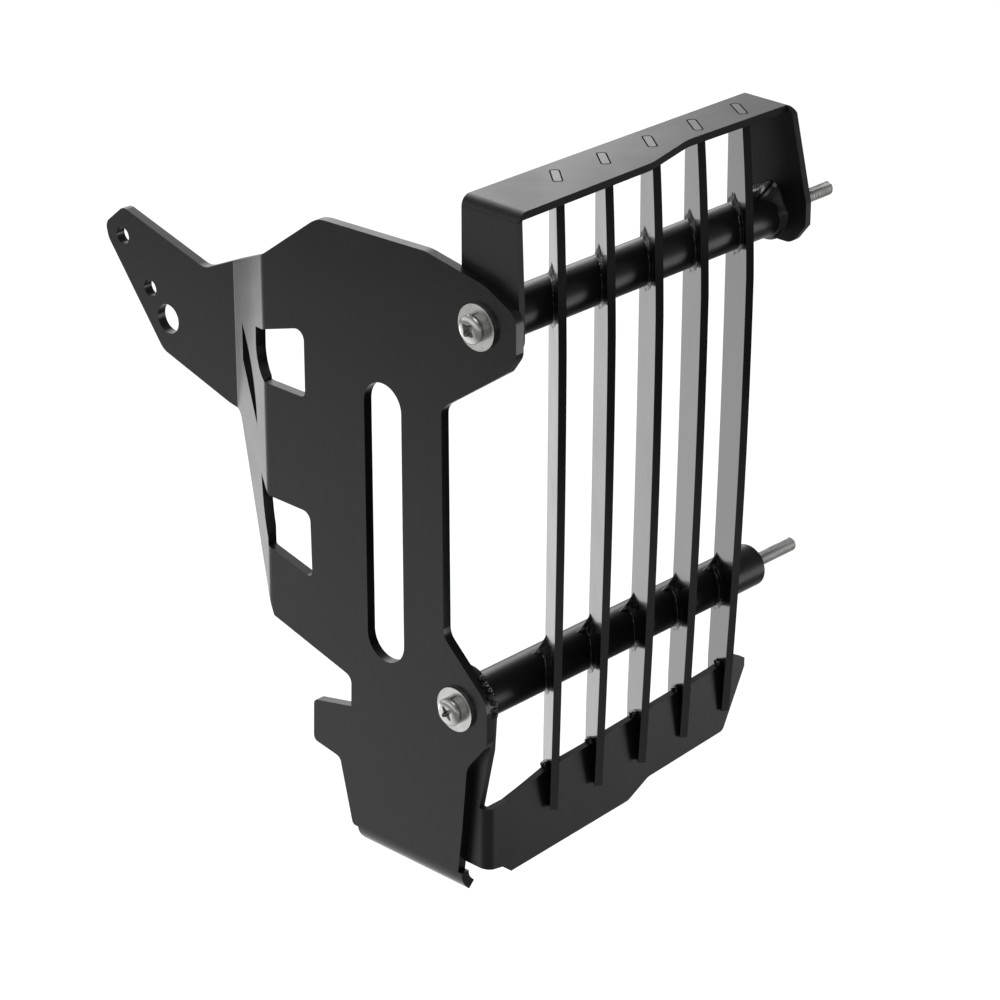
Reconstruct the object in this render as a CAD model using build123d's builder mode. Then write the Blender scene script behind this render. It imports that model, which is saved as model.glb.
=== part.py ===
from build123d import *
from math import cos, sin, tan, radians, hypot

# Motorcycle radiator guard: a folded side plate that bolts to the frame, and a
# welded grille of five upright fins held by two folded brackets and two tubes.
# X runs along the tubes from the side plate, Y points back, Z points up.
# Sketches count X from the outer face of the side plate; the finished pieces are
# set down with the origin where the thread of the upper bolt begins, just outside
# the right-hand cheek.
# All lengths are millimetres and all angles degrees.

# Sheet and tube stock
plate_t = 4.0
bracket_t = 3.0
fin_t = 3.1
tube_d = 18.0
bolt_d = 6.0
bolt_clear = 0.6
hole_d = bolt_d + bolt_clear
tube_bore = bolt_d + 1.2

# Bolt axes, the upper one on the origin
lower_y = 12.0
lower_z = -160.2

# Side plate: upright sheet, flange folded inwards, ear folded back parallel
fold_y = 115.0
flange_deg = 25.8
ear_offset = 16.0
bend_in = 2.0
plate_top = 21.0
plate_bottom = -234.0
slot_w = 19.7
slot_y = 50.1
slot_top = -37.0
slot_bottom = -153.8
lip_len = 5.8
lip_deg = 45.0
lip_drop = 2.6
lip_bend = 5.0
lip_rear = 67.5
lip_front = 10.0
ear_small_d = 7.2
ear_large_d = 12.4

# Fins
fin_count = 5
fin_first_x = 41.0
fin_pitch = 25.8
fin_first_deg = 40.9
fin_step_deg = -2.0
fin_lap = 18.2
fin_heel = 19.2
deep_fins = 3
tenon_len = 12.0
tenon_y = 1.7
tenon_gap = 0.35
tenon_round = 1.0

# Top bracket
roof_top = 46.0
roof_right = 164.0
roof_rear = 12.4
roof_front_left = -15.8
roof_front_mid = -14.4
roof_front_step = -7.4
roof_front_right = -8.8
step_from_x = 77.0
step_to_x = 105.0
bend_left = 4.2
bend_right = 3.2
fold_out = 4.0

# Bottom bracket
apron_y = 0.0
apron_top = -196.0
apron_h = 38.4
apron_right = 157.0
fold_drop = 6.5
apron_crest = [(61.0, apron_top - 0.4), (137.0, apron_top + 4.4), (150.4, apron_top + 6.4)]

# Tubes and bolts
lower_tube_end = 172.0
washer_t = 1.6
flat_washer_d = 18.0
spring_washer_d = 11.0
spring_washer_t = 1.6
head_d = 12.0
head_h = 3.9
bolt_len = 203.4
thread_r = 2.95
undercut_r = 2.5
undercut_len = 1.0

plate_in = plate_t
cheek_in = plate_in + bracket_t
roof_under = roof_top - bracket_t
right_in = roof_right - bracket_t
tube_r = tube_d / 2
apron_bottom = apron_top - apron_h
fold_top = apron_top - fold_drop
fin_foot = apron_top - fin_lap
spare = 10.0
ear_y = fold_y + ear_offset / tan(radians(flange_deg))


def fin_turn(i):
    """Angle of fin i about the vertical, in degrees."""
    return fin_first_deg + i * fin_step_deg


def tenon_place(i):
    """Centre of the tenon of fin i, turned with the fin."""
    x = fin_first_x + i * fin_pitch + tenon_y * tan(radians(fin_turn(i)))
    return Location((x, tenon_y, 0), (0, 0, 90 - fin_turn(i)))


def on_flange(s):
    """Y of a point that lies s along the flange from the fold line."""
    return fold_y + s * cos(radians(flange_deg))


# side_plate: plan view of the folded sheet, cut to its side outline
with BuildPart() as side_plate:
    with BuildSketch(Plane.XY.offset(plate_bottom - spare)):
        with BuildLine():
            turn = (0, fold_y)
            back = (ear_offset, ear_y)
            Polyline((0, -25), turn, back, (ear_offset, ear_y + 82))
            offset(amount=plate_t, side=Side.RIGHT, closed=True)
        make_face()
    extrude(amount=plate_top - plate_bottom + 2 * spare)
    upright = side_plate.edges().filter_by(Axis.Z)
    near = upright.filter_by(lambda e: fold_y - 8 < e.center().Y < ear_y + 8)
    outer_bends = [e for e in near if abs(e.center().X) < 0.1 or e.center().X > ear_offset + 1]
    inner_bends = [e for e in near if e not in outer_bends]
    fillet(outer_bends, bend_in + plate_t)
    fillet(inner_bends, bend_in)
    foot_bend = plate_bottom + 22.0
    with BuildSketch(Plane.YZ.offset(-10)) as outline:
        with BuildLine():
            Polyline(
                (fold_y, -3.2), (83.5, plate_top - 1.0), (27.0, plate_top + 0.9), (-3.0, 16.5),
                (-18.5, 8.5), (-18.4, -7.8), (-13.6, -14.8), (19.4, -38.0), (19.0, lower_z + 28.2),
                (-3.6, lower_z + 7.2), (-3.6, lower_z - 10.8), (7.0, lower_z - 24.3),
                (9.6, foot_bend), (12.2, plate_bottom), (70.4, plate_bottom), (77.0, -206.0),
                (91.8, -203.4), (91.2, -185.2), (70.0, -180.6), (69.6, -167.6),
                (fold_y - 2, -155.5), (on_flange(32.8), -82.0), (ear_y + 4.9, -80.4),
                (ear_y + 43.5, -68.6), (ear_y + 74.3, -28.4), (ear_y + 75.8, -22.2),
                (ear_y + 64.7, -12.8), (ear_y + 16.9, -26.4), (on_flange(37.0), -18.9),
                close=True,
            )
        make_face()
        corners = outline.vertices()
        rounded = {
            (83.5, plate_top - 1.0): 14, (27.0, plate_top + 0.9): 14, (-3.0, 16.5): 12,
            (-18.5, 8.5): 7, (-18.4, -7.8): 6, (-13.6, -14.8): 5, (19.4, -38.0): 6,
            (19.0, lower_z + 28.2): 7, (-3.6, lower_z + 7.2): 10, (-3.6, lower_z - 10.8): 8,
            (7.0, lower_z - 24.3): 8, (9.6, foot_bend): 15, (12.2, plate_bottom): 1.5,
            (70.4, plate_bottom): 2, (77.0, -206.0): 3, (91.8, -203.4): 2.5,
            (91.2, -185.2): 2.5, (69.6, -167.6): 4, (on_flange(32.8), -82.0): 5,
            (ear_y + 43.5, -68.6): 8, (ear_y + 74.3, -28.4): 5, (ear_y + 75.8, -22.2): 4.5,
            (ear_y + 64.7, -12.8): 4.5, (ear_y + 16.9, -26.4): 9,
        }
        for (cy, cz), r in rounded.items():
            spot = [v for v in outline.vertices() if hypot(v.X - cy, v.Y - cz) < 0.01]
            if spot:
                fillet(spot, r)
    extrude(amount=60, mode=Mode.INTERSECT)
    # upright slot, bolt holes and the two windows that cross the fold
    slot_len = slot_top - slot_bottom
    with BuildSketch(Plane.YZ.offset(-1)):
        with Locations((slot_y, (slot_top + slot_bottom) / 2)):
            SlotOverall(slot_len, slot_w, rotation=90)
        with Locations((0, 0), (lower_y, lower_z)):
            Circle(hole_d / 2)
    extrude(amount=plate_t + 2, mode=Mode.SUBTRACT)
    with BuildSketch(Plane.YZ.offset(-1)) as upper_window:
        with BuildLine():
            Polyline(
                (92.1, -26.6), (92.1, -55.4), (fold_y + 0.5, -55.4), (fold_y + 0.5, -33.7),
                close=True,
            )
        make_face()
        fillet([v for v in upper_window.vertices() if v.X < 100 and v.Y > -40], 4)
        fillet([v for v in upper_window.vertices() if v.X < 100 and v.Y < -40], 2.5)
    extrude(amount=plate_t + 2, mode=Mode.SUBTRACT)
    with BuildSketch(Plane.YZ.offset(-1)) as lower_window:
        with BuildLine():
            Polyline(
                (90.9, -103.6), (90.4, -131.8), (fold_y + 0.5, -125.6), (fold_y + 0.5, -103.4),
                close=True,
            )
        make_face()
        fillet([v for v in lower_window.vertices() if v.X < 100 and v.Y > -120], 4)
        fillet([v for v in lower_window.vertices() if v.X < 100 and v.Y < -120], 2.5)
    extrude(amount=plate_t + 2, mode=Mode.SUBTRACT)
    # the parts of the windows that lie in the flange, cut square to it
    lean = radians(flange_deg)
    flange_face = Plane(
        origin=(0, fold_y, 0), x_dir=(sin(lean), cos(lean), 0), z_dir=(cos(lean), -sin(lean), 0)
    )
    with BuildSketch(flange_face.offset(-3)) as flange_windows:
        with BuildLine():
            Polyline((-1.0, -55.4), (-1.0, -33.4), (9.2, -35.8), (9.4, -44.0))
            ThreePointArc((9.4, -44.0), (6.6, -51.2), (-1.0, -55.4))
        make_face()
        with BuildLine():
            Polyline((-1.0, -125.0), (-1.0, -103.4), (7.2, -97.0), (6.0, -106.0))
            ThreePointArc((6.0, -106.0), (3.6, -115.7), (-1.0, -125.0))
        make_face()
    extrude(amount=plate_t + 6, mode=Mode.SUBTRACT)
    # curved triangular hole in the flange
    with BuildSketch(flange_face.offset(-3)):
        with BuildLine():
            Line((27.5, -41.0), (27.6, -57.0))
            Line((27.6, -57.0), (10.9, -78.0))
            ThreePointArc((10.9, -78.0), (15.6, -56.5), (27.5, -41.0))
        make_face()
    extrude(amount=plate_t + 6, mode=Mode.SUBTRACT)
    # holes of the ear
    with BuildSketch(Plane.YZ.offset(ear_offset - 1)):
        with Locations((ear_y + 65.5, -25.4), (ear_y + 50.1, -43.9)):
            Circle(ear_small_d / 2)
        with Locations((ear_y + 39.9, -54.3)):
            Circle(ear_large_d / 2)
    extrude(amount=plate_t + 2, mode=Mode.SUBTRACT)
    # short lip folded inwards along the bottom edge
    a = radians(lip_deg)
    lip_z = plate_bottom - lip_drop
    lip_start = lip_z + (lip_bend + plate_t) * tan(a / 2) + 0.5
    tip_x = lip_len * sin(a)
    tip_z = lip_z - lip_len * cos(a)
    with BuildSketch(Plane.XZ.offset(-lip_rear)):
        with Locations((0, lip_start)):
            Rectangle(plate_t, spare, align=(Align.MIN, Align.MAX))
    extrude(amount=lip_rear - lip_front, mode=Mode.SUBTRACT)
    with BuildSketch(Plane.XZ.offset(-lip_rear)) as lip:
        with BuildLine():
            Polyline(
                (0, lip_start), (0, lip_z), (tip_x, tip_z),
                (tip_x + plate_t * cos(a), tip_z + plate_t * sin(a)),
                (plate_t, lip_z + plate_t * tan(a / 2)), (plate_t, lip_start), close=True,
            )
        make_face()
        corners = lip.vertices().filter_by(lambda v: v.Y < lip_start - 0.1)
        fillet(corners.sort_by(Axis.X)[0], lip_bend + plate_t)
        inner = [v for v in lip.vertices() if hypot(v.X - plate_t, v.Y - lip_z - plate_t * tan(a / 2)) < 0.01]
        fillet(inner, lip_bend)
    extrude(amount=lip_rear - lip_front)
side_plate.part.label = "side_plate"

# outline that trims the folded channel of the top bracket
with BuildPart() as channel_trim:
    with BuildSketch(Plane.XY.offset(roof_under)) as roof:
        with BuildLine():
            Polyline(
                (plate_in, roof_rear), (plate_in, roof_front_left), (step_from_x, roof_front_mid),
                (step_to_x, roof_front_step), (roof_right, roof_front_right),
                (roof_right, roof_rear), close=True,
            )
        make_face()
        fillet([v for v in roof.vertices() if step_from_x - 1 < v.X < step_to_x + 1], 22)
    extrude(amount=bracket_t)
    with BuildSketch(Plane.YZ.offset(plate_in)) as left_cheek:
        with BuildLine():
            Polyline(
                (roof_front_left, roof_top), (-14.8, 42.0), (-16.4, 3.0), (-16.2, -5.0), (-10.0, -13.0),
                (7.0, -14.0), (roof_rear, -7.0), (roof_rear, roof_top), close=True,
            )
        make_face()
        fillet([v for v in left_cheek.vertices() if v.Y < -2], 5)
    extrude(amount=bracket_t)
    with BuildSketch(Plane.YZ.offset(right_in)) as right_cheek:
        with BuildLine():
            Polyline(
                (roof_front_right, roof_top), (-11.8, 43.0), (-20.2, 8.5), (-20.2, -0.5),
                (-13.6, -9.1), (6.0, -9.1), (roof_rear, -3.0), (roof_rear, roof_top), close=True,
            )
        make_face()
        fillet([v for v in right_cheek.vertices() if v.Y < -2], 6)
    extrude(amount=bracket_t)

# top_bracket: roof with a stepped front edge and two cheeks folded down
with BuildPart() as top_bracket:
    with BuildSketch(Plane.XZ.offset(-30)) as channel:
        with Locations(((plate_in + roof_right) / 2, roof_top - 40)):
            Rectangle(roof_right - plate_in, 80)
        fillet([v for v in channel.vertices() if v.Y > 0 and v.X < plate_in + 1], bend_left)
        fillet([v for v in channel.vertices() if v.Y > 0 and v.X > right_in], bend_right)
        with Locations(((plate_in + roof_right) / 2, roof_under - 40)):
            Rectangle(right_in - cheek_in, 80, mode=Mode.SUBTRACT)
    extrude(amount=60)
    add(channel_trim.part, mode=Mode.INTERSECT)
    with BuildSketch(Plane.YZ):
        Circle(hole_d / 2)
    extrude(amount=roof_right + 1, mode=Mode.SUBTRACT)
    # one slot in the roof for the tenon of each fin
    with BuildSketch(Plane.XY.offset(roof_under - 1)):
        with Locations(*[tenon_place(i) for i in range(fin_count)]):
            RectangleRounded(
                tenon_len + 2 * tenon_gap, fin_t + 2 * tenon_gap, tenon_round + tenon_gap
            )
    extrude(amount=bracket_t + 2, mode=Mode.SUBTRACT)
top_bracket.part.label = "top_bracket"

# outline that trims the folded angle of the bottom bracket
with BuildPart() as angle_trim:
    apron_heel = apron_bottom + 5.5
    with BuildSketch(Plane.XZ.offset(-apron_y)) as apron:
        with BuildLine():
            Polyline(
                (plate_in, fold_top), (15.0, fold_top), (26.0, apron_top - 4.2), (38.0, apron_top - 1.3),
                *apron_crest, (apron_right, apron_top + 2.8),
                (apron_right, apron_top - 1.0), (144.2, apron_bottom + 12.2),
                (98.0, apron_bottom + 9.2), (86.0, apron_bottom + 3.2), (17.5, apron_bottom),
                (12.5, apron_bottom + 4.0), (plate_in, apron_heel), close=True,
            )
        make_face()
        fillet([v for v in apron.vertices() if 12 < v.X < 24 and v.Y > fold_top - 1], 5)
        fillet([v for v in apron.vertices() if 84 < v.X < 100 and v.Y < apron_bottom + 10], 6)
        fillet([v for v in apron.vertices() if 140 < v.X < 150 and v.Y < apron_top - 1], 3)
    extrude(amount=-bracket_t)
    with BuildSketch(Plane.YZ.offset(plate_in)) as arm:
        with BuildLine():
            Polyline(
                (apron_y, apron_heel), (apron_y, fold_top), (fold_out + 0.3, fold_top),
                (-1.4, lower_z - 15.8), (-2.0, lower_z - 7.8), (lower_y - 15, lower_z + 7),
                (lower_y - 5, lower_z + 16), (lower_y + 8, lower_z + 17), (lower_y + 18, lower_z + 6),
                (lower_y + 14, lower_z - 22), (20.0, apron_heel), close=True,
            )
        make_face()
        fillet([v for v in arm.vertices() if v.Y > max(lower_z - 24, fold_top + 1)], 8)
    extrude(amount=bracket_t)

# bottom_bracket: front apron with one cheek folded back and up to the lower tube
with BuildPart() as bottom_bracket:
    with BuildSketch(Plane.XY.offset(apron_bottom - spare)) as angle:
        with Locations((plate_in, apron_y)):
            Rectangle(apron_right, 60, align=(Align.MIN, Align.MIN))
        with Locations((cheek_in, apron_y + bracket_t)):
            Rectangle(apron_right, 60, align=(Align.MIN, Align.MIN), mode=Mode.SUBTRACT)
        fillet(
            [v for v in angle.vertices() if v.X < plate_in + 0.1 and abs(v.Y - apron_y) < 0.1],
            fold_out,
        )
    extrude(amount=fold_top - apron_bottom + spare)
    with BuildSketch(Plane.XY.offset(fold_top)):
        with Locations((plate_in, apron_y - 20)):
            Rectangle(bracket_t, 70, align=(Align.MIN, Align.MIN))
        with Locations((cheek_in, apron_y)):
            Rectangle(apron_right, bracket_t, align=(Align.MIN, Align.MIN))
    extrude(amount=90)
    add(angle_trim.part, mode=Mode.INTERSECT)
    with BuildSketch(Plane.YZ):
        with Locations((lower_y, lower_z)):
            Circle(hole_d / 2)
    extrude(amount=20, mode=Mode.SUBTRACT)
bottom_bracket.part.label = "bottom_bracket"

# upper_tube and lower_tube: spacer tubes on the bolt axes
with BuildPart() as upper_tube:
    with BuildSketch(Plane.YZ.offset(cheek_in)):
        Circle(tube_r)
        Circle(tube_bore / 2, mode=Mode.SUBTRACT)
    extrude(amount=right_in - cheek_in)
upper_tube.part.label = "upper_tube"

with BuildPart() as lower_tube:
    with BuildSketch(Plane.YZ.offset(cheek_in)):
        with Locations((lower_y, lower_z)):
            Circle(tube_r)
            Circle(tube_bore / 2, mode=Mode.SUBTRACT)
    extrude(amount=lower_tube_end - cheek_in)
lower_tube.part.label = "lower_tube"


def make_fin(i):
    """Flat fin, turned about the vertical, notched on both tubes and slotted over the apron."""
    turn = radians(fin_turn(i))
    reach = 1 / cos(turn)
    deep = i < deep_fins
    foot_z = fin_foot if deep else fin_foot + 0.4 + 2.0 * (i - deep_fins)
    belly = -16.8 if deep else -15.2
    crown = -8.2 if deep else -6.4
    front = [(crown, roof_under), ((belly + crown) / 2 - 0.7, 18.0), (belly, -15.0)]
    front += [(belly + 1.4 if deep else belly + 2.1, -95.0), (-3.4 if deep else -2.2, foot_z)]
    rear = [(15.4, foot_z), (15.0, fin_foot + fin_heel), (8.0, -65.0), (8.6, roof_under)]
    front = [(y * reach, z) for y, z in front]
    rear = [(y * reach, z) for y, z in rear]
    face = Plane(
        origin=(fin_first_x + i * fin_pitch, 0, 0),
        x_dir=(sin(turn), cos(turn), 0),
        z_dir=(cos(turn), -sin(turn), 0),
    )
    with BuildPart() as fin:
        with BuildSketch(face.offset(-fin_t / 2)):
            with BuildLine():
                ThreePointArc(front[0], front[1], front[2])
                ThreePointArc(front[2], front[3], front[4])
                Polyline(front[4], rear[0], rear[1])
                ThreePointArc(rear[1], rear[2], rear[3])
                Line(rear[3], front[0])
            make_face()
        extrude(amount=fin_t)
        with BuildSketch(Plane.XY.offset(roof_under)):
            with Locations(tenon_place(i)):
                RectangleRounded(tenon_len, fin_t, tenon_round)
        extrude(amount=bracket_t)
        with BuildSketch(Plane.YZ):
            with Locations((0, 0), (lower_y, lower_z)):
                Circle(tube_r)
        extrude(amount=roof_right, mode=Mode.SUBTRACT)
        with BuildSketch(Plane.XZ.offset(-apron_y)):
            with BuildLine():
                Polyline(
                    (plate_in, fin_foot - spare), (plate_in, apron_top), *apron_crest,
                    (lower_tube_end, apron_crest[-1][1]), (lower_tube_end, fin_foot - spare),
                    close=True,
                )
            make_face()
        extrude(amount=-bracket_t, mode=Mode.SUBTRACT)
    fin.part.label = f"bar_{i + 1}"
    return fin


fins = [make_fin(i) for i in range(fin_count)]


def make_bolt(y, z, thread_from):
    """Pan-head screw with a cross recess and an undercut before its free thread."""
    seat = -washer_t - spring_washer_t
    with BuildPart() as bolt:
        with BuildSketch(Plane.YZ.offset(seat)):
            with Locations((y, z)):
                Circle(bolt_d / 2)
        extrude(amount=thread_from - undercut_len - seat)
        with BuildSketch(Plane.YZ.offset(thread_from - undercut_len)):
            with Locations((y, z)):
                Circle(undercut_r)
        extrude(amount=undercut_len)
        with BuildSketch(Plane.YZ.offset(thread_from)):
            with Locations((y, z)):
                Circle(thread_r)
        extrude(amount=seat + bolt_len - thread_from)
        end = bolt.edges().filter_by(GeomType.CIRCLE).sort_by(Axis.X)[-1]
        chamfer(end, 0.8)
        with BuildSketch(Plane.YZ.offset(seat)):
            with Locations((y, z)):
                Circle(head_d / 2)
        extrude(amount=-head_h)
        rim = bolt.edges().filter_by(GeomType.CIRCLE).sort_by(Axis.X)[0]
        fillet(rim, 2.9)
        with BuildSketch(Plane.YZ.offset(seat - head_h)):
            with Locations((y, z)):
                Rectangle(5.6, 1.3)
                Rectangle(1.3, 5.6)
        extrude(amount=2.6, taper=12, mode=Mode.SUBTRACT)
    return bolt


upper_bolt = make_bolt(0, 0, roof_right + undercut_len)
upper_bolt.part.label = "upper_bolt"
lower_bolt = make_bolt(lower_y, lower_z, lower_tube_end + undercut_len)
lower_bolt.part.label = "lower_bolt"


def make_washer(y, z, outer_d, thick, from_x, split):
    """Flat ring, or a spring washer when it is split."""
    with BuildPart() as washer:
        with BuildSketch(Plane.YZ.offset(from_x)):
            with Locations((y, z)):
                Circle(outer_d / 2)
                Circle(hole_d / 2, mode=Mode.SUBTRACT)
            if split:
                with Locations((y, z + outer_d / 2)):
                    Rectangle(0.9, outer_d, mode=Mode.SUBTRACT)
        extrude(amount=thick)
    return washer


places = {"upper": (0, 0), "lower": (lower_y, lower_z)}
washers = []
for place, (wy, wz) in places.items():
    flat = make_washer(wy, wz, flat_washer_d, washer_t, -washer_t, False)
    flat.part.label = place + "_flat_washer"
    spring = make_washer(
        wy, wz, spring_washer_d, spring_washer_t, -washer_t - spring_washer_t, True
    )
    spring.part.label = place + "_spring_washer"
    washers += [flat, spring]

pieces = [side_plate, top_bracket, bottom_bracket, upper_tube, lower_tube, upper_bolt, lower_bolt]
for piece in pieces + fins + washers:
    placed = Pos(-roof_right - undercut_len, 0, 0) * piece.part
    placed.label = piece.part.label
    export_step(placed, "parts/" + placed.label + ".step")
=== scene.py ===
# %% [markdown]
# # Motorcycle radiator guard
# The real guard is cut from steel sheet, folded and welded. A side plate carries a
# grille of five upright bars, two spacer tubes run through the bars, and two long
# screws hold it all to the radiator. The solid model has every main shape already. It
# could be drawn a second time in Blender, but then the two would drift apart. So this
# lesson loads the solids, leaves them where they are, and adds what a solid model
# leaves out: the finish, the welds, the threads and the light.

import bpy
import bmesh
import math
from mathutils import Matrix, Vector, noise


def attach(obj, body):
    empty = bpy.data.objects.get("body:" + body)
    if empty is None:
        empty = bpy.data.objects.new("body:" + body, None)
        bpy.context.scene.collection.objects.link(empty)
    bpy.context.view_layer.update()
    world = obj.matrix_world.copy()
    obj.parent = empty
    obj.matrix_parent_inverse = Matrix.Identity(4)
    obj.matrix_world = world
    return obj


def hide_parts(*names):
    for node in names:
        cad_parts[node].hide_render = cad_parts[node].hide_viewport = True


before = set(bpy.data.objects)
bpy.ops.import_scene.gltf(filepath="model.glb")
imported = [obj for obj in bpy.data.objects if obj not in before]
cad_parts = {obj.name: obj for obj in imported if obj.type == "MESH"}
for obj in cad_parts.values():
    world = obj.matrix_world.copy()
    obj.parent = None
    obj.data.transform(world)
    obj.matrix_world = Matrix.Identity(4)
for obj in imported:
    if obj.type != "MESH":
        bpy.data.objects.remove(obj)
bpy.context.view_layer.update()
MM = 0.001
print("loaded", len(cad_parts), "solids")

# %% [markdown]
# ## How a material is made
# A material is a small tree of nodes that ends in the Principled shader. It could be
# drawn by hand in the shader editor. Written in code it stays readable, and one recipe
# serves several coats. Colours are written as on a paint card, in sRGB hex, and one
# function turns them into the linear values that a shader works with.


# %% Colour and empty material
def colour(code):
    """Linear colour of an sRGB hex code."""
    out = []
    for k in (1, 3, 5):
        c = int(code[k:k + 2], 16) / 255
        out.append(c / 12.92 if c <= 0.04045 else ((c + 0.055) / 1.055) ** 2.4)
    return (*out, 1.0)


def new_material(name):
    """Empty material with its shader and output; returns it with tree and shader."""
    material = bpy.data.materials.new(name)
    material.use_nodes = True
    tree = material.node_tree
    tree.nodes.clear()
    shader = tree.nodes.new("ShaderNodeBsdfPrincipled")
    out = tree.nodes.new("ShaderNodeOutputMaterial")
    tree.links.new(shader.outputs["BSDF"], out.inputs["Surface"])
    return material, tree, shader


print("black powder is", [round(c, 4) for c in colour("#0c0c0c")], "in linear values")


# %% One node at a time
def node(tree, kind, links=None, sockets=None, stops=(), **settings):
    """Adds a node with its settings, its sockets' values, its links and ramp stops."""
    new = tree.nodes.new("ShaderNode" + kind)
    for key, value in settings.items():
        setattr(new, key, value)
    for key, value in (sockets or {}).items():
        new.inputs[key].default_value = value
    for key, source in (links or {}).items():
        tree.links.new(source, new.inputs[key])
    for k, (place, code) in enumerate(stops):
        new.color_ramp.elements[k].position = place
        new.color_ramp.elements[k].color = colour(code)
    return new


def spots(size):
    """Scale of a pattern whose spots lie this many millimetres apart."""
    return 1 / (size * MM)


print("spots 5 mm apart need the scale", spots(5))

# %% [markdown]
# ## Powder coat
# The steel is powder coated: dry polyester powder is sprayed on and melts in an oven. The
# eye sees a near-black skin with a satin shine, a very fine orange peel, and here and
# there a speck of dust that melted in. One flat colour would look like plastic, and a
# picture wrapped round the sheet would stretch at its folds. So noise in the solid's own
# space makes all of it, at sizes taken from real coats. On cut edges the powder draws back
# and lies thinner, so an edge can be rougher than the sheet beside it. On the cheeks' front
# edges and the bars' upper fronts the shine is also lowered, which is painted shade. An
# exported model keeps the roughness of an edge and drops its lesser shine.

# %% Sizes in a powder coat
CLOUD = 26.3  # mm between spots of the slow drift in tone and gloss
PEEL = 1.111  # mm, orange peel
WAVE = 6.25  # mm, the longer waves that rolling leaves in the sheet
RELIEF = 0.2 * MM  # full height of peel and waves
RELIEF_SHARE = 0.1  # how much of that height this smooth coat shows
SPECK_GAP = 10.53  # mm between the places where a speck may lie
SPECK_RADIUS = 0.03  # as a share of that gap, so a speck is 0.6 mm across
SPECK_SHARE = 0.05  # one place in twenty has a speck
SPECK_COLOUR = "#a8a8a6"
print("orange peel needs the scale", round(spots(PEEL)))
print("a speck is", round(2 * SPECK_RADIUS * SPECK_GAP, 2), "mm across")


# %% Specks of dust
def specks_of_dust(tree, place, base):
    """Lays rare pale specks over a base colour; returns the colour's socket."""
    cells = node(tree, "TexVoronoi", {"Vector": place}, {"Scale": spots(SPECK_GAP)})
    dot = node(tree, "Math", {0: cells.outputs["Distance"]}, {1: SPECK_RADIUS},
               operation="LESS_THAN")
    pick = node(tree, "SeparateColor", {"Color": cells.outputs["Color"]})
    rare = node(tree, "Math", {0: pick.outputs["Red"]}, {1: SPECK_SHARE},
                operation="LESS_THAN")
    speck = node(tree, "Math", {0: dot.outputs[0], 1: rare.outputs[0]}, operation="MULTIPLY")
    mixed = node(tree, "Mix", {"Factor": speck.outputs[0], "A": base},
                 {"B": colour(SPECK_COLOUR)}, data_type="RGBA")
    return mixed.outputs["Result"]


print("one place in", round(1 / SPECK_SHARE), "has a speck")

# %% Cut edges
FULL_SHINE = 0.5  # the specular level at which the IOR alone decides the shine
FACES_IT = {"From Min": 0.4, "From Max": 0.7}  # cosine of the angle to the edge's way


def edge_share(tree, place, edge):
    """Socket that is 1 where the surface is such a cut edge, and 0 elsewhere.

    An edge says the way that it faces, and the heights in metres where it begins,
    where it is full and where it ends.
    """
    normal = node(tree, "NewGeometry").outputs["True Normal"]
    facing = node(tree, "VectorMath", {0: normal}, {1: edge["toward"]},
                  operation="DOT_PRODUCT")
    turned_to = node(tree, "MapRange", {"Value": facing.outputs["Value"]}, FACES_IT)
    height = node(tree, "SeparateXYZ", {"Vector": place}).outputs["Z"]
    above = node(tree, "MapRange", {"Value": height},
                 {"From Min": edge["begins"], "From Max": edge["full"]})
    below = node(tree, "Math", {0: height}, {1: edge["ends"]}, operation="LESS_THAN")
    inside = node(tree, "Math", {0: above.outputs[0], 1: below.outputs[0]},
                  operation="MULTIPLY")
    share = node(tree, "Math", {0: turned_to.outputs["Result"], 1: inside.outputs[0]},
                 operation="MULTIPLY")
    return share.outputs[0]


# The lowered shine is painted shade on the cheeks' front edges and the bars' upper fronts.
def dimmed_for_shade(tree, share, loss, before):
    """Socket of the specular level, lowered by loss where share is 1."""
    level = node(tree, "Math", {0: share}, {1: -loss, 2: FULL_SHINE},
                 operation="MULTIPLY_ADD")
    if before:
        tree.links.new(before, level.inputs[2])
    return level.outputs[0]


print("an edge counts in full up to", round(math.degrees(math.acos(FACES_IT["From Max"]))),
      "degrees from its way")

# %% Powder coat
CLOUD_SPAN = (0.3, 0.7)  # the values that this noise mostly has
GLOSS_DRIFT = (-0.03, 0.04)  # change of roughness between those values


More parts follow.
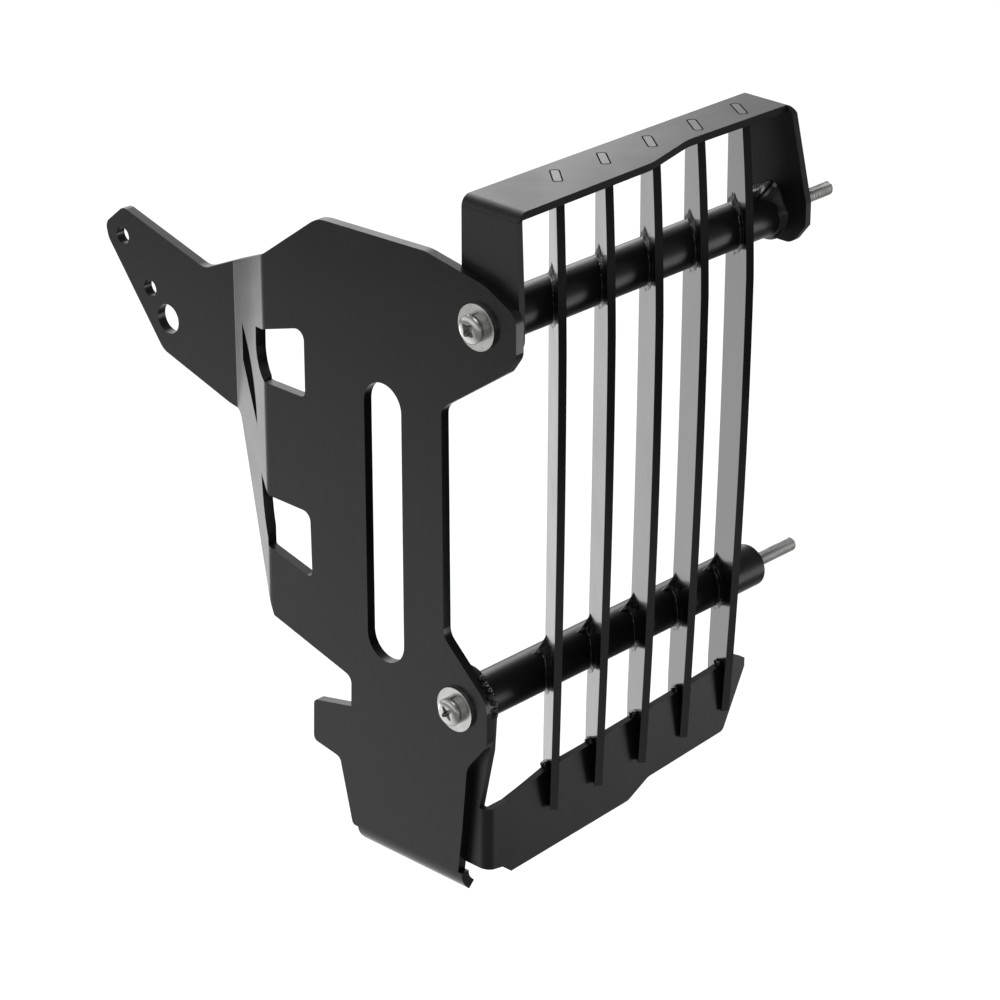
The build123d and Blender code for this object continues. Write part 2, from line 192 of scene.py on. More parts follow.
def powder_coat(name, dark, light, rough, ior, specks=True, cut_edges=()):
    """Satin powder coat whose tone drifts between two near-black colours."""
    material, tree, shader = new_material(name)
    place = node(tree, "TexCoord").outputs["Object"]
    cloud = node(tree, "TexNoise", {"Vector": place}, {"Scale": spots(CLOUD), "Detail": 3.0})
    tone = node(tree, "ValToRGB", {"Fac": cloud.outputs["Fac"]},
                stops=zip(CLOUD_SPAN, (dark, light)))
    base = tone.outputs["Color"]
    if specks:
        base = specks_of_dust(tree, place, base)
    tree.links.new(base, shader.inputs["Base Color"])

    gloss = node(tree, "MapRange", {"Value": cloud.outputs["Fac"]},
                 {"From Min": CLOUD_SPAN[0], "From Max": CLOUD_SPAN[1],
                  "To Min": rough + GLOSS_DRIFT[0], "To Max": rough + GLOSS_DRIFT[1]})
    roughness = gloss.outputs["Result"]
    level = None
    for edge in cut_edges:
        share = edge_share(tree, place, edge)
        if "rougher" in edge:
            more = node(tree, "Math", {0: share, 2: roughness}, {1: edge["rougher"]},
                        operation="MULTIPLY_ADD")
            roughness = more.outputs[0]
        # A lowered shine here is painted shade.
        if "painted_shade_dimming" in edge:
            level = dimmed_for_shade(tree, share, edge["painted_shade_dimming"], level)
    tree.links.new(roughness, shader.inputs["Roughness"])
    if level:
        tree.links.new(level, shader.inputs["Specular IOR Level"])

    peel = node(tree, "TexNoise", {"Vector": place}, {"Scale": spots(PEEL), "Detail": 2.0})
    waves = node(tree, "TexNoise", {"Vector": place}, {"Scale": spots(WAVE), "Detail": 1.0})
    height = node(tree, "Math", {0: peel.outputs["Fac"], 1: waves.outputs["Fac"]},
                  operation="ADD")
    bump = node(tree, "Bump", {"Height": height.outputs[0]},
                {"Strength": RELIEF_SHARE, "Distance": RELIEF})
    tree.links.new(bump.outputs["Normal"], shader.inputs["Normal"])
    shader.inputs["IOR"].default_value = ior
    return material


print("gloss drifts over", round(GLOSS_DRIFT[1] - GLOSS_DRIFT[0], 2), "of roughness")

# %% [markdown]
# ## The five powder coats
# Cured polyester has an IOR near 1.5, and a satin coat a roughness of 0.2 to 0.4. Each
# coat starts there and is then matched to the photograph. The plate mirrors the pale room
# softly. The brackets are flatter, as on rough sheet. The bars show silvery faces, which
# takes a stronger mirror, so their IOR is matched upwards. Welds are lumpy and glossy.
# The roof's cut front edge stays dark by a rougher coat. The cheeks' front edges and the bars'
# narrow upper fronts stay dark by painted shade, a lowered shine.

# %% Where the cut edges are
UP = (0, 0, 1)
FORWARD = (0, -1, 0)
BAR_FORWARD = (-0.6, -0.8, 0)
# Heights in metres where an edge begins, where it is full and where it ends.
ANYWHERE = {"begins": -1.1, "full": -1.0, "ends": 1.0}
ROOF_EDGE = {"begins": 0.0427, "full": 0.0429, "ends": 1.0}
ROOF_TOP = {"begins": 0.0424, "full": 0.0426, "ends": 1.0}
CHEEK_EDGE = {"begins": -0.1001, "full": -0.1, "ends": 0.0428}
APRON_EDGE = {"begins": -1.1, "full": -1.0, "ends": -0.1}
BAR_UPPER = {"begins": -0.13, "full": -0.05, "ends": 1.0}
print("the roof's front edge lies above", ROOF_EDGE["full"], "m")

# %% Mix the powder coats
BLACK = ("#0c0c0c", "#101010")
COATS = {
    # Smooth sheet: a calm satin mirror, a little rougher on its upper cut edges.
    "side_plate": powder_coat("powder_coat_plate", *BLACK, rough=0.22, ior=1.47, cut_edges=[
        {"toward": UP, "rougher": 0.16, **ANYWHERE}]),
    # Flatter coat: the roof glows broadly and shows no clear mirror image.
    "brackets": powder_coat("powder_coat_brackets", *BLACK, rough=0.38, ior=1.6, cut_edges=[
        {"toward": UP, "rougher": 0.4, **APRON_EDGE},
        {"toward": FORWARD, "rougher": 0.5, **ROOF_EDGE},
        # The cheeks' front edges: painted shade by a lowered shine.
        {"toward": FORWARD, "painted_shade_dimming": 0.38, **CHEEK_EDGE}]),
    # Drawn tube: a shade lighter, with long soft streaks of light along it.
    "tubes": powder_coat("powder_coat_tubes", "#121212", "#171717", rough=0.33, ior=1.4,
                         specks=False),
    # Flat bar: silvery where it faces the light, black on its narrow front, whose upper part
    # has painted shade.
    "bars": powder_coat("powder_coat_bars", *BLACK, rough=0.15, ior=1.9, specks=False,
                        cut_edges=[
                            {"toward": UP, "rougher": 0.22, **ROOF_TOP},
                            # The bars' upper fronts: painted shade by a lowered shine.
                            {"toward": BAR_FORWARD, "painted_shade_dimming": 0.38, **BAR_UPPER}]),
    # Weld metal: the coat runs smooth over the lumps, so they glint.
    "welds": powder_coat("powder_coat_welds", "#0b0b0b", "#101010", rough=0.20, ior=1.6,
                         specks=False),
}
print("mixed", len(COATS), "powder coats")

# %% [markdown]
# ## Zinc plate and the painted shade of the joint
# Screws and washers are steel with bright zinc, laid on in an electric bath. The eye sees
# a pale, slightly cloudy metal with a soft mirror. It could be a plain grey metal, but the
# cloudiness is what tells zinc from chrome, so noise drives both its tone and its gloss.
# Where a tenon comes up through the roof the coat doesn't bridge the joint, and shade
# lies in the narrow gap. A dark coat that hardly shines paints that shade.

# %% Zinc plate
ZINC_CLOUD = 3.846  # mm between cloudy spots
ZINC_GRAIN = 0.4545  # mm; the real grain is under 0.05 mm, drawn coarse enough to show
ZINC_SPAN = (0.35, 0.65)
ZINC_DRIFT = (-0.05, 0.08)


def zinc_plate(name, dark, light, rough):
    """Bright zinc plate with a cloudy tone and gloss."""
    material, tree, shader = new_material(name)
    place = node(tree, "TexCoord").outputs["Object"]
    cloud = node(tree, "TexNoise", {"Vector": place},
                 {"Scale": spots(ZINC_CLOUD), "Detail": 3.0})
    tone = node(tree, "ValToRGB", {"Fac": cloud.outputs["Fac"]},
                stops=zip(ZINC_SPAN, (dark, light)))
    tree.links.new(tone.outputs["Color"], shader.inputs["Base Color"])
    gloss = node(tree, "MapRange", {"Value": cloud.outputs["Fac"]},
                 {"To Min": rough + ZINC_DRIFT[0], "To Max": rough + ZINC_DRIFT[1]})
    tree.links.new(gloss.outputs["Result"], shader.inputs["Roughness"])
    grain = node(tree, "TexNoise", {"Vector": place},
                 {"Scale": spots(ZINC_GRAIN), "Detail": 2.0})
    bump = node(tree, "Bump", {"Height": grain.outputs["Fac"]},
                {"Strength": 0.15, "Distance": 0.1 * MM})
    tree.links.new(bump.outputs["Normal"], shader.inputs["Normal"])
    shader.inputs["Metallic"].default_value = 1.0
    return material


# Screws are turned and mirror most; washers are stamped and a little duller.
COATS["screws"] = zinc_plate("zinc_plate_screws", "#d6d6d4", "#ececea", 0.20)
COATS["washers"] = zinc_plate("zinc_plate_washers", "#dcdcda", "#eeeeec", 0.26)
# Spring washers are coiled from wire with a rough skin.
COATS["springs"] = zinc_plate("zinc_plate_springs", "#c8c8c6", "#dcdcda", 0.42)
# The recess is dull, and its darker tone is painted shade.
COATS["recess"] = zinc_plate("zinc_plate_recess_painted_shade", "#8c8c8a", "#a6a6a4", 0.45)
print("plated", [name for name in COATS if COATS[name].name.startswith("zinc")])


# %% Painted shade of the joint
JOINT_SHADE_GRAIN = 0.6667  # mm, grain of the dark tone that paints the joint's shade


def joint_shade_coat(name):
    """Dark, dull coat that paints the shade down in an open joint."""
    material, tree, shader = new_material(name)
    place = node(tree, "TexCoord").outputs["Object"]
    grain = node(tree, "TexNoise", {"Vector": place},
                 {"Scale": spots(JOINT_SHADE_GRAIN), "Detail": 2.0})
    tone = node(tree, "ValToRGB", {"Fac": grain.outputs["Fac"]},
                stops=[(0.4, "#040404"), (0.6, "#0a0a0a")])
    tree.links.new(tone.outputs["Color"], shader.inputs["Base Color"])
    shader.inputs["Roughness"].default_value = 1.0
    shader.inputs["IOR"].default_value = 1.2
    return material


# A dark coat that paints the shade in the open joints round the tenons.
COATS["joint"] = joint_shade_coat("painted_joint_shade")
print("made", len(COATS), "materials in all")

# %% [markdown]
# ## The solids' finish
# Powder melts round every corner, so no edge of a coated sheet is sharp. The solids
# have sharp edges. They could be rounded in the solid model, at a great cost in faces.
# A small bevel modifier does the same here and leaves their meshes as they are.

# %% Coat the solids
EDGE_ROUND = 0.3 * MM
SHARPER_THAN = math.radians(38)  # gentler corners belong to curved faces
COAT_OF = {"side_plate": "side_plate", "top_bracket": "brackets",
           "bottom_bracket": "brackets", "upper_tube": "tubes", "lower_tube": "tubes",
           "upper_bolt": "screws", "lower_bolt": "screws",
           "upper_spring_washer": "springs", "lower_spring_washer": "springs",
           "upper_flat_washer": "washers", "lower_flat_washer": "washers"}

for name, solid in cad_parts.items():
    for k in range(len(solid.data.materials)):
        solid.data.materials[k] = COATS[COAT_OF.get(name, "bars")]
    ease = solid.modifiers.new("eased_edges", "BEVEL")
    ease.width = EDGE_ROUND
    ease.segments = 2
    ease.limit_method = "ANGLE"
    ease.angle_limit = SHARPER_THAN
    ease.use_clamp_overlap = True
print("coated", len(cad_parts), "solids")

# %% [markdown]
# ## Welds round the tubes
# Each bar is welded to both tubes, and each tube to its bracket's cheek. Molten metal
# creeps up both walls of the corner, so a weld is concave, and it swells where the
# welder paused. It could be sculpted by hand. Here it is a strip of mesh that goes
# round the tube in steps of two degrees: across the strip its height falls off in a
# curve, and along it noise and a few named peaks lift it as the photograph shows.


# %% Making a piece
def finish_piece(name, verts, faces, coat):
    """Makes a smooth piece from vertices in millimetres; it rides with the solids."""
    mesh = bpy.data.meshes.new(name)
    mesh.from_pydata([Vector(v) * MM for v in verts], [], faces)
    bm = bmesh.new()
    bm.from_mesh(mesh)
    bmesh.ops.recalc_face_normals(bm, faces=bm.faces)
    bm.to_mesh(mesh)
    bm.free()
    mesh.polygons.foreach_set("use_smooth", [True] * len(mesh.polygons))
    piece = bpy.data.objects.new(name, mesh)
    bpy.context.collection.objects.link(piece)
    mesh.materials.append(COATS[coat])
    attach(piece, "root")
    return piece


# %% Where the welds lie
# Millimetres. X is counted from the thread of the upper screw, along both tubes.
PLATE_OUT = -165.0
LEFT_CHEEK = PLATE_OUT + 7.0  # inner face, past the 4 mm plate and the 3 mm cheek
RIGHT_CHEEK = PLATE_OUT + 161.0
TUBE_R = 9.0
UPPER = (0.0, 0.0)  # depth and height of each tube's axis
LOWER = (12.0, -160.2)
BARS = range(5)
BAR_T = 3.1
BAR_X = [PLATE_OUT + 41.0 + 25.8 * i for i in BARS]
BAR_TURN = [math.radians(40.9 - 2.0 * i) for i in BARS]


def bar_face(i, side):
    """Function that gives the X of bar i's left (-1) or right (1) face at a depth."""
    def face_x(y):
        return BAR_X[i] + (side * BAR_T / 2 + math.sin(BAR_TURN[i]) * y) / math.cos(BAR_TURN[i])
    return face_x


print("bars at x", [round(x, 1) for x in BAR_X])

# %% Shape of a weld
STEP = 2  # degrees
# Places across the strip, from under the wall's face (below 0) to past the foot (1).
ACROSS = [-0.25, 0.0, 0.15, 0.3, 0.45, 0.6, 0.75, 0.9, 1.05]
HOLLOW = 2.1  # how concave it is; 1 would be flat
SUNK = 0.05  # mm that it lies in the tube, so that no gap shows
FOOT_DEPTH = -0.35  # mm, where its foot dives into the tube
SWELL = 0.22  # the slow swelling of its height, as a share of the leg
SWELL_REACH = 0.16
RIPPLE = 0.05  # the even ripple that a steady hand leaves
ROUGH_SKIN = 0.07  # the small unevenness of its skin
END_STEPS = 5  # steps over which an open end fades out


def weld_size(deg, leg, peaks, seed):
    """Height on the wall and reach along the tube of a weld, at an angle.

    The noise is read along a circle, so a weld all round the tube has no seam.
    """
    a = math.radians(deg)
    swell = noise.noise(Vector((math.cos(a) * 1.9 + seed * 3.1, math.sin(a) * 1.9, 0.5)))
    height = leg * (1 + SWELL * swell + RIPPLE * math.sin(deg * 0.8 + seed))
    reach = leg * (1 + SWELL_REACH * swell)
    for at, higher, further, spread in peaks:
        k = math.exp(-(((deg - at) / spread) ** 2))
        height += higher * k
        reach += further * k
    return height, reach


def tube_weld(name, face_x, side, centre, start, end, leg, seed, peaks=()):
    """Concave weld between a wall and a tube, from angle start to end in degrees.

    Each peak is (angle, extra height, extra reach, spread in degrees).
    """
    verts = []
    steps = int((end - start) / STEP) + 1
    for j in range(steps):
        deg = start + STEP * j
        fade = 1.0
        if end - start < 360:
            fade = min(1.0, (j + 1) / END_STEPS, (steps - j) / END_STEPS)
        height, reach = weld_size(deg, leg, peaks, seed)
        height *= fade
        reach *= 0.5 + 0.5 * fade
        for u in ACROSS:
            h = height * (1 - max(u, 0.0)) ** HOLLOW if u < 1 else FOOT_DEPTH
            skin = noise.noise(Vector((deg * 0.13, u * 3, seed * 2.0)))
            h += ROUGH_SKIN * skin * leg
            r = TUBE_R + h - SUNK
            y = centre[0] + r * math.cos(math.radians(deg))
            z = centre[1] + r * math.sin(math.radians(deg))
            verts.append((face_x(y) + side * reach * u, y, z))
    n = len(ACROSS)
    corners = [j * n + k for j in range(steps - 1) for k in range(n - 1)]
    faces = [(a, a + 1, a + n + 1, a + n) for a in corners]
    finish_piece(name, verts, faces, "welds")


print("a weld has", len(ACROSS), "points across")

# %% Welds of the bars on both tubes
UPPER_PEAKS = [(84, 2.6, 1.2, 13), (268, 1.6, 1.2, 9)]
LOWER_PEAKS = [(98, 4.6, 7.2, 16), (262, 1.2, 1.0, 9)]
for i in BARS:
    left, right, n = bar_face(i, -1), bar_face(i, 1), i + 1
    tube_weld(f"weld_upper_left_{n}", left, -1, UPPER, 34, 326, 1.7, n, UPPER_PEAKS)
    tube_weld(f"weld_upper_right_{n}", right, 1, UPPER, 34, 326, 1.5, n + 10)
    tube_weld(f"weld_lower_left_{n}", left, -1, LOWER, 92, 268, 1.8, n + 20, LOWER_PEAKS)
    tube_weld(f"weld_lower_right_{n}", right, 1, LOWER, 96, 264, 1.5, n + 30)
print("made", 4 * len(BARS), "bar welds")


# %% Welds of the tubes on their cheeks
def left_cheek(y):
    return LEFT_CHEEK


def right_cheek(y):
    return RIGHT_CHEEK


tube_weld("weld_upper_tube_left", left_cheek, 1, UPPER, 0, 360, 2.2, 41,
          [(60, 0.8, 0.6, 20), (200, 0.6, 0.4, 25)])
tube_weld("weld_upper_tube_right", right_cheek, -1, UPPER, 0, 360, 1.8, 42,
          [(104, 3.6, 6.6, 24), (60, 1.2, 1.6, 18), (168, 0.8, 1.2, 16)])
tube_weld("weld_lower_tube_left", left_cheek, 1, LOWER, 0, 360, 2.0, 43,
          [(98, 1.5, 1.7, 9), (124, 1.1, 1.3, 8), (149, 1.5, 1.5, 9), (176, 1.1, 1.5, 8),
           (200, 1.3, 1.2, 9)])
print("made 3 tube welds")

# %% [markdown]
# ## Drops of weld
# Each bar sits astride the bottom bracket's apron, held by a small lump of weld at the
# apron's top edge on either side, and a row of such lumps joins the side plate to
# that bracket's cheek. A plain sphere would look like a ball bearing. So each lump is
# a fine sphere whose points are moved in and out by noise, then stretched to size.


# %% A drop of weld
DROP_DETAIL = 3
KNOBS = 0.25  # how far noise moves its skin, as a share of its size
KNOBS_ACROSS = 1.7


def drop(name, place, size, seed):
    """Knobbly drop of weld metal, with its place and half sizes in millimetres."""
    bm = bmesh.new()
    bmesh.ops.create_icosphere(bm, subdivisions=DROP_DETAIL, radius=1.0)
    verts = []
    for v in bm.verts:
        k = 1 + KNOBS * noise.noise(v.co * KNOBS_ACROSS + Vector((seed, 0, 0)))
        verts.append(tuple(v.co[axis] * size[axis] * k + place[axis] for axis in range(3)))
    faces = [tuple(v.index for v in f.verts) for f in bm.faces]
    bm.free()
    finish_piece(name, verts, faces, "welds")


print("a drop has", 20 * 4 ** (DROP_DETAIL - 1), "faces")

# %% Drops along the apron
APRON_TOP = [(61.0, -196.4), (137.0, -191.6), (150.4, -189.6)]


def crest_z(x):
    """Height of the apron's top edge at x."""
    (x0, z0), (x1, z1), (x2, z2) = [(px + PLATE_OUT, pz) for px, pz in APRON_TOP]
    if x < x0:
        return z0
    if x < x1:
        return z0 + (z1 - z0) * (x - x0) / (x1 - x0)
    return z1 + (z2 - z1) * (x - x1) / (x2 - x1)


for i in BARS:
    x = bar_face(i, -1)(1.0)
    place = (x - 0.9, 1.6, crest_z(x) + 0.3)
    drop(f"weld_apron_{i + 1}", place, (2.5, 2.0, 1.7), i + 0.5)
    x = bar_face(i, 1)(1.0)
    place = (x + 0.5, 1.4, crest_z(x) + 0.2)
    drop(f"weld_apron_right_{i + 1}", place, (1.6, 1.5, 1.4), i + 9.5)
print("made", 2 * len(BARS), "apron welds")

# %% Drops between the plate and the lower cheek
# Depth of each drop, and its height over the lower tube's axis.
CHEEK_DROPS = [(3.1, 14.4), (0.9, 12.3), (-0.9, 10.5), (-2.4, 8.4), (-3.3, 6.0), (-3.6, 3.4),
               (-3.6, 0.8)]
for k, (y, up) in enumerate(CHEEK_DROPS):
    place = (PLATE_OUT + 4.4 - 0.4 * (k % 2), y, LOWER[1] + up)
    size = (1.5 + 0.3 * (k % 2), 1.0, 1.3 - 0.2 * (k % 3))
    drop(f"weld_cheek_{k + 1}", place, size, k + 20.5)
print("made", len(CHEEK_DROPS), "drops on the cheek")

# %% [markdown]
# ## Joints in the roof
# The tenon of each bar comes up through a slot in the roof and ends flush with it. The
# coat doesn't bridge the joint, so a thin dark line of shade runs round each tenon. The gap
# itself is too narrow to show at this distance. A flat dark ring paints that shade:
# it follows the outline of the bar's own top face, so it fits every tenon.

# %% Joints of the tenons
RING_IN = -0.05  # mm from the tenon's outline
RING_OUT = 0.5
RING_LIFT = 0.03


def tenon_joint_shade(i):
    """Dark ring round the top face of bar i, the painted shade of its joint."""
    points = [v.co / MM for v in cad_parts[f"bar_{i}"].data.vertices]
    top = max(p.z for p in points)
    rim = [p for p in points if p.z > top - 0.05]
    mid = sum(rim, Vector()) / len(rim)
    rim.sort(key=lambda p: math.atan2(p.y - mid.y, p.x - mid.x))
    n = len(rim)
    verts = []
    for k, p in enumerate(rim):
        along = (rim[(k + 1) % n] - rim[k - 1]).normalized()
        out = Vector((along.y, -along.x, 0))
        for far in (RING_IN, RING_OUT):
            q = p + out * far
            verts.append((q.x, q.y, top + RING_LIFT))
    faces = [(2 * k, 2 * k + 1, 2 * ((k + 1) % n) + 1, 2 * ((k + 1) % n)) for k in range(n)]
    print("joint", i, "of", n, "points at height", round(top, 2))
    finish_piece(f"tenon_joint_shade_{i}", verts, faces, "joint")


for i in BARS:
    tenon_joint_shade(i + 1)

# %% [markdown]
# ## Screws
# The two M6 screws have a domed pan head with a star-shaped recess, and 203 mm of shank
# with a rolled thread at the free end. The solids carry plain cylinders in their place.
# A thread could be a bump in the material, but the free ends stand against white, where
# only a real outline looks right. So head and shank are one profile turned about the
# axis, the recess is cut out of it, and the thread is a turned skin whose radius
# follows the helix.


# %% Turned skins
def around(y, z, x, radii):
    """Ring of points about a line along X, one for each radius."""
    step = 2 * math.pi / len(radii)
    return [(x, y + r * math.cos(k * step), z + r * math.sin(k * step))
            for k, r in enumerate(radii)]


def ring_faces(rings, segments):
    """Faces that join rings of points into one closed skin."""
    faces = []
    for j in range(rings - 1):
        for k in range(segments):
            a = j * segments + k
            b = j * segments + (k + 1) % segments
            faces.append((a, b, b + segments, a + segments))
    last = (rings - 1) * segments
    return faces + [tuple(range(segments)), tuple(range(last, last + segments))]


print("two rings of 64 points make a skin of", len(ring_faces(2, 64)), "faces")

# %% Head and shank
SEAT_X = PLATE_OUT - 3.2  # under the head, on top of both washers
TIP_X = SEAT_X + 203.4
HEAD_R = 5.6
HEAD_H = 2.7
DOME_H = 1.5
CROWN_R = 2.2  # radius of the flat top
SHANK_R = 3.0
NECK_R = 4.5  # of the undercut, which makes the head stand off the washer
HEAD_SEGMENTS = 64


def head_profile(thread_from):
    """Places along X and radii, from the crown of the head to the thread."""
    profile = []
    for deg in range(0, 91, 9):
        a = math.radians(deg)
        x = SEAT_X - HEAD_H + DOME_H * (1 - math.cos(a))
        profile.append((x, CROWN_R + (HEAD_R - CROWN_R) * math.sin(a)))
    rim = [(SEAT_X - 0.85, HEAD_R), (SEAT_X - 0.75, HEAD_R - 0.15)]
    neck = [(SEAT_X - 0.7, NECK_R), (SEAT_X, NECK_R)]
    shank = [(SEAT_X + 0.02, SHANK_R), (thread_from, SHANK_R)]
    return profile + rim + neck + shank


print("a head has", len(head_profile(0.0)), "rings")

# %% Thread
PITCH = 1.0
CREST_R = 2.93
ROOT_R = 2.45
TIP_R = 2.1
CHAMFER = 1.1  # mm of radius for each mm from the tip
THREAD_SEGMENTS = 48
RINGS_PER_TURN = 8


def thread(x0, x1, y, z):
    """Vertices and faces of a right-hand thread with a chamfered tip."""
    rings = int((x1 - x0) / PITCH * RINGS_PER_TURN) + 1
    verts = []
    for j in range(rings):
        x = x0 + (x1 - x0) * j / (rings - 1)
        chamfer = TIP_R + (x1 - x) * CHAMFER
        radii = []
        for k in range(THREAD_SEGMENTS):
            turn = (x - x0) / PITCH - k / THREAD_SEGMENTS
            wave = abs((turn % 1.0) * 2 - 1)
            r = ROOT_R + (CREST_R - ROOT_R) * min(1.0, 1.25 * wave)
            radii.append(min(r, chamfer))
        verts += around(y, z, x, radii)
    return verts, ring_faces(rings, THREAD_SEGMENTS)


print("10 mm of thread has", len(thread(0.0, 10.0, 0.0, 0.0)[0]), "points")

# %% Cutter of the recess
RECESS_DEPTH = 1.6
ARM_R = 3.3  # from the axis to the end of an arm
ARM_HALF = 0.45  # half the width of an arm
TAPER = 0.5  # size of the star at the bottom, as a share of its size at the top


def recess_cutter(y, z, turn_deg, waist):
    """Tapered four-pointed star that cuts the recess, as an object to subtract."""
    bm = bmesh.new()
    mouth = SEAT_X - HEAD_H - 0.1
    rings = []
    for x, scale in ((mouth, 1.0), (mouth + RECESS_DEPTH, TAPER)):
        ring = []
        for k in range(4):
            arm = math.radians(turn_deg + 90 * k)
            for side in (-1, 1, 0):
                a = arm if side else math.radians(turn_deg + 90 * k + 45)
                r, off = (ARM_R, side * ARM_HALF) if side else (waist, 0.0)
                py = y + scale * (r * math.cos(a) - off * math.sin(a))
                pz = z + scale * (r * math.sin(a) + off * math.cos(a))
                ring.append(bm.verts.new(Vector((x, py, pz)) * MM))
        rings.append(ring)
    n = len(rings[0])
    for k in range(n):
        m = (k + 1) % n
        bm.faces.new((rings[0][k], rings[0][m], rings[1][m], rings[1][k]))
    bm.faces.new(rings[0])
    bm.faces.new(rings[1])
    bmesh.ops.recalc_face_normals(bm, faces=bm.faces)
    mesh = bpy.data.meshes.new("cutter")
    bm.to_mesh(mesh)
    bm.free()
    cutter = bpy.data.objects.new("cutter", mesh)
    bpy.context.collection.objects.link(cutter)
    return cutter


print("the recess is", 2 * ARM_R, "mm across and", RECESS_DEPTH - 0.1, "mm deep")


# %% Cut the recess
def cut_recess(body, y, z, turn_deg, waist):
    """Cuts the recess into a screw's mesh and gives its inside a darker coat of painted shade.
    """
    cutter = recess_cutter(y, z, turn_deg, waist)
    cut = body.modifiers.new("recess", "BOOLEAN")
    cut.object = cutter
    cut.solver = "EXACT"
    cut.use_self = True
    graph = bpy.context.evaluated_depsgraph_get()
    mesh = bpy.data.meshes.new_from_object(body.evaluated_get(graph))
    body.modifiers.clear()
    body.data = mesh
    bpy.data.objects.remove(cutter)
    # A darker coat inside the recess: painted shade.
    mesh.materials.append(COATS["recess"])
    for face in mesh.polygons:
        p = face.center / MM
        below_crown = SEAT_X - HEAD_H + 0.1 < p.x < SEAT_X - 0.1
        if below_crown and math.hypot(p.y - y, p.z - z) < ARM_R + 0.1:
            face.material_index = len(mesh.materials) - 1


print("each screw's recess has the coat", COATS["recess"].name)

# %% Both screws
THREAD_OVERLAP = 0.6  # mm that the thread starts inside the shank
SMOOTH_BELOW = math.radians(40)  # sharper corners keep a crisp edge


def screw(name, replaced, axis, thread_from, turn_deg, waist):
    """Whole screw, from its head to its threaded tip.

    The recess is turned by turn_deg, and waist is its radius between two arms.
    """
    y, z = axis
    verts = []
    profile = head_profile(thread_from)
    for x, r in profile:
        verts += around(y, z, x, [r] * HEAD_SEGMENTS)
    faces = ring_faces(len(profile), HEAD_SEGMENTS)
    body = finish_piece(name, verts, faces, "screws")
    cut_recess(body, y, z, turn_deg, waist)
    verts, faces = thread(thread_from - THREAD_OVERLAP, TIP_X, y, z)
    tail = finish_piece(name + "_thread", verts, faces, "screws")
    for piece in (body, tail):
        sharp = piece.modifiers.new("smooth_by_angle", "EDGE_SPLIT")
        sharp.split_angle = SMOOTH_BELOW
    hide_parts(replaced)


screw("upper_screw", "upper_bolt", UPPER, 0.0, 36, 2.2)
screw("lower_screw", "lower_bolt", LOWER, 8.0, 50, 1.5)
print("made 2 screws with threads")

# %% [markdown]
# ## Light
# A black coat shows little of its own colour: what the eye reads as its shape is the
# room that it mirrors. One strong lamp would leave it black with hard glints. So four
# large soft panels and a pale room are placed for what each surface mirrors: the panel
# behind for the bars' faces, the one on top for the roof, the one on the right for the
# cheeks and tubes, and a small low one for the folded flange.

# %% Soft panels
AIM = Vector((-0.06, 0.05, -0.09))
PANELS = {  # place in metres, side of the square in metres, power in watts
    "panel_back": ((0.8, 1.72, 0.95), 1.7, 23.0),
    "panel_top": ((-0.5, -0.3, 1.7), 1.2, 5.0),
    "panel_right": ((1.2, -1.2, -0.5), 0.9, 5.6),
    "panel_low": ((-0.2, 1.5, -0.87), 0.6, 1.8),
}
for name, (place, side, power) in PANELS.items():
    data = bpy.data.lights.new(name, "AREA")
    data.shape = "SQUARE"
    data.size = side
    data.energy = power
    lamp = bpy.data.objects.new(name, data)
    bpy.context.collection.objects.link(lamp)
    lamp.location = place
    lamp.rotation_euler = (Vector(place) - AIM).to_track_quat("Z", "Y").to_euler()
print("hung", len(PANELS), "panels")

# %% [markdown]
# ## Room and floor
# The picture needs a white background, and more light would bleach the part. Light Path
# keeps the two apart: a ray from the camera sees white, a soft ray a plain level, and a
# mirrored ray a room that is brighter low down and behind. The floor does the same. A
# ray from the camera sees its glow with a share of the lit floor in it, so that the
# part's shadow stays, and a mirrored ray sees a painted pool of light, a glow that fades out.

# %% Pale room
WHITE = (1, 1, 1, 1)
PLAIN_LEVEL = 0.6


def seen_rays(tree):
    """Light Path, and a socket that is 1 for rays from the camera or through glass."""
    path = node(tree, "LightPath")
    seen = node(tree, "Math", {0: path.outputs["Is Camera Ray"],
                               1: path.outputs["Is Transmission Ray"]}, operation="ADD")
    return path, seen.outputs[0]


world = bpy.data.worlds.new("pale_room")
bpy.context.scene.world = world
world.use_nodes = True
tree = world.node_tree
tree.nodes.clear()
path, seen = seen_rays(tree)
way = node(tree, "SeparateXYZ", {"Vector": node(tree, "TexCoord").outputs["Generated"]})
low_bright = node(tree, "MapRange", {"Value": way.outputs["Z"]},
                  {"From Min": 0.0, "From Max": 0.5, "To Min": 0.8, "To Max": 0.25})
back_bright = node(tree, "MapRange", {"Value": way.outputs["Y"]},
                   {"From Min": -0.6, "From Max": 0.4, "To Min": 0.5})
level = node(tree, "Math", {0: low_bright.outputs["Result"],
                            1: back_bright.outputs["Result"]}, operation="MULTIPLY")
room = node(tree, "Background", {"Strength": level.outputs[0]}, {"Color": WHITE})
plain = node(tree, "Background", sockets={"Color": WHITE, "Strength": PLAIN_LEVEL})
white = node(tree, "Background", sockets={"Color": WHITE, "Strength": 1.0})
lighting = node(tree, "MixShader", {0: path.outputs["Is Glossy Ray"], 1: plain.outputs[0],
                                    2: room.outputs[0]})
view = node(tree, "MixShader", {0: seen, 1: lighting.outputs[0], 2: white.outputs[0]})
node(tree, "OutputWorld", {"Surface": view.outputs[0]})
print("painted the room")

# %% Pale floor
FLOOR_Z = -0.9
FLOOR_HALF = 9
FLOOR_GLOW = 1.25
REAL_SHARE = 0.3  # of the lit floor in what the camera sees, which keeps the shadow
# Painted light: a pool of light painted on the floor as a glow that only mirrored rays see.
PAINTED_PATCH_CENTRE = (0.0, 1.8, FLOOR_Z)
PAINTED_PATCH_FADE = {"From Min": 1.1, "From Max": 2.3, "To Min": 1.0, "To Max": 0.18}

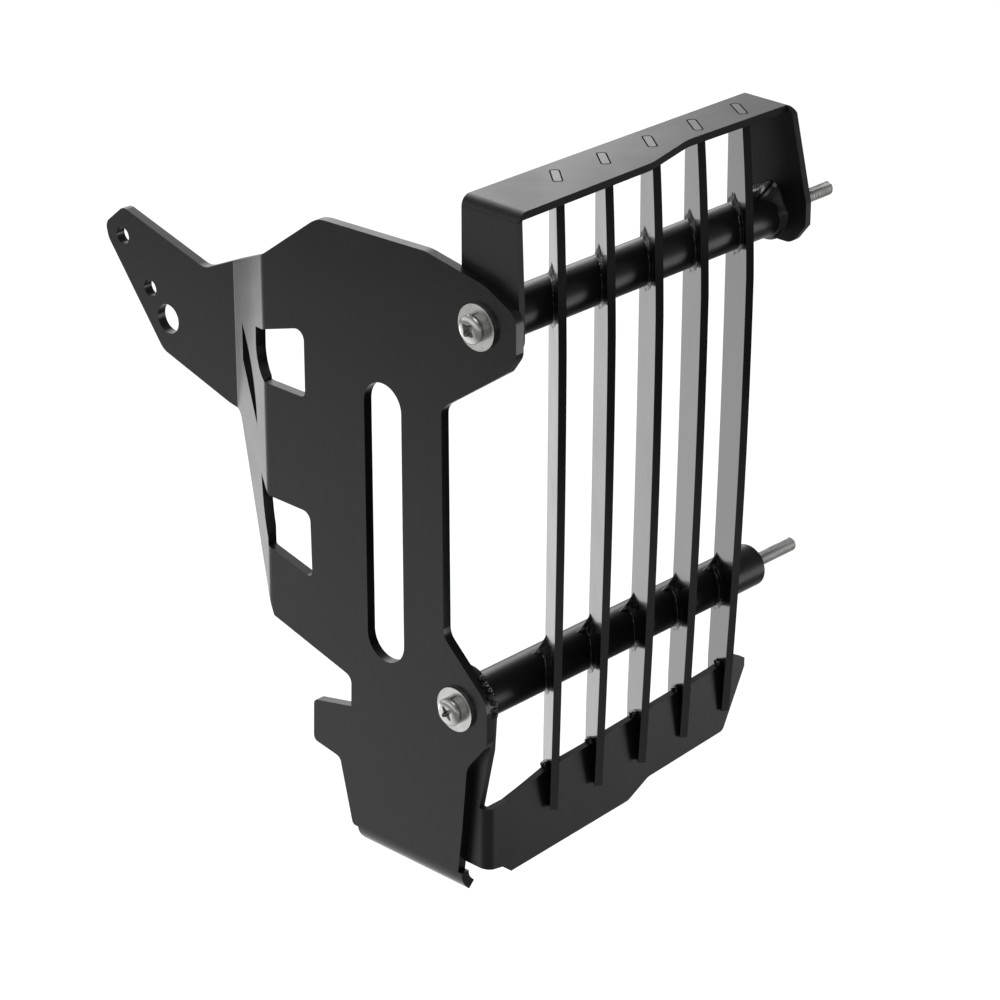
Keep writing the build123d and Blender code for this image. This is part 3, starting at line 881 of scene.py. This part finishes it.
corners = [(x * FLOOR_HALF, y * FLOOR_HALF, FLOOR_Z)
           for x, y in ((-1, -1), (1, -1), (1, 1), (-1, 1))]
floor_mesh = bpy.data.meshes.new("floor")
floor_mesh.from_pydata(corners, [], [(0, 1, 2, 3)])
floor = bpy.data.objects.new("floor", floor_mesh)
bpy.context.collection.objects.link(floor)

# Matt white paper: a diffuse sheet, which takes the shadow and gives no mirror image.
material, tree, shader = new_material("pale_floor")
shader.inputs["Base Color"].default_value = colour("#e6e6e6")
shader.inputs["Roughness"].default_value = 0.9
path, seen = seen_rays(tree)
glow = node(tree, "Emission", sockets={"Color": WHITE, "Strength": FLOOR_GLOW})
# Painted light: the floor glows for mirrored rays, fading away from the pool's centre.
away = node(tree, "VectorMath", {0: node(tree, "TexCoord").outputs["Object"]}, {1: PAINTED_PATCH_CENTRE},
            operation="DISTANCE")
painted_patch_fade = node(tree, "MapRange", {"Value": away.outputs["Value"]}, PAINTED_PATCH_FADE,
            interpolation_type="SMOOTHSTEP")
painted_patch_glow = node(tree, "Emission", {"Strength": painted_patch_fade.outputs["Result"]}, {"Color": WHITE})
lighting = node(tree, "MixShader", {0: path.outputs["Is Glossy Ray"],
                                    1: shader.outputs["BSDF"], 2: painted_patch_glow.outputs[0]})
paper = node(tree, "MixShader", {1: glow.outputs[0], 2: shader.outputs["BSDF"]},
             {0: REAL_SHARE})
view = node(tree, "MixShader", {0: seen, 1: lighting.outputs[0], 2: paper.outputs[0]})
tree.links.new(view.outputs[0], tree.nodes["Material Output"].inputs["Surface"])
floor_mesh.materials.append(material)
print("laid the floor")

# %% [markdown]
# ## Camera
# The photograph looks from the left and the front, 25 degrees from above, through a
# long lens. The camera could be moved by eye. Instead its place and lens were worked
# out from the photograph's straight edges and round holes, so both pictures overlay.

# %% Camera
LOOKS_DOWN = 24.94
LOOKS_RIGHT = 46.5461

data = bpy.data.cameras.new("camera")
data.sensor_width = 36.0
data.lens = 132.74
data.clip_end = 50.0
camera = bpy.data.objects.new("camera", data)
bpy.context.collection.objects.link(camera)
camera.location = (-1.0532, -0.8520, 0.5034)
camera.rotation_euler = (math.radians(90 - LOOKS_DOWN), 0.0, math.radians(-LOOKS_RIGHT))
bpy.context.scene.camera = camera
bpy.context.scene.view_settings.view_transform = "Standard"
print("camera at", tuple(round(v, 3) for v in camera.location))
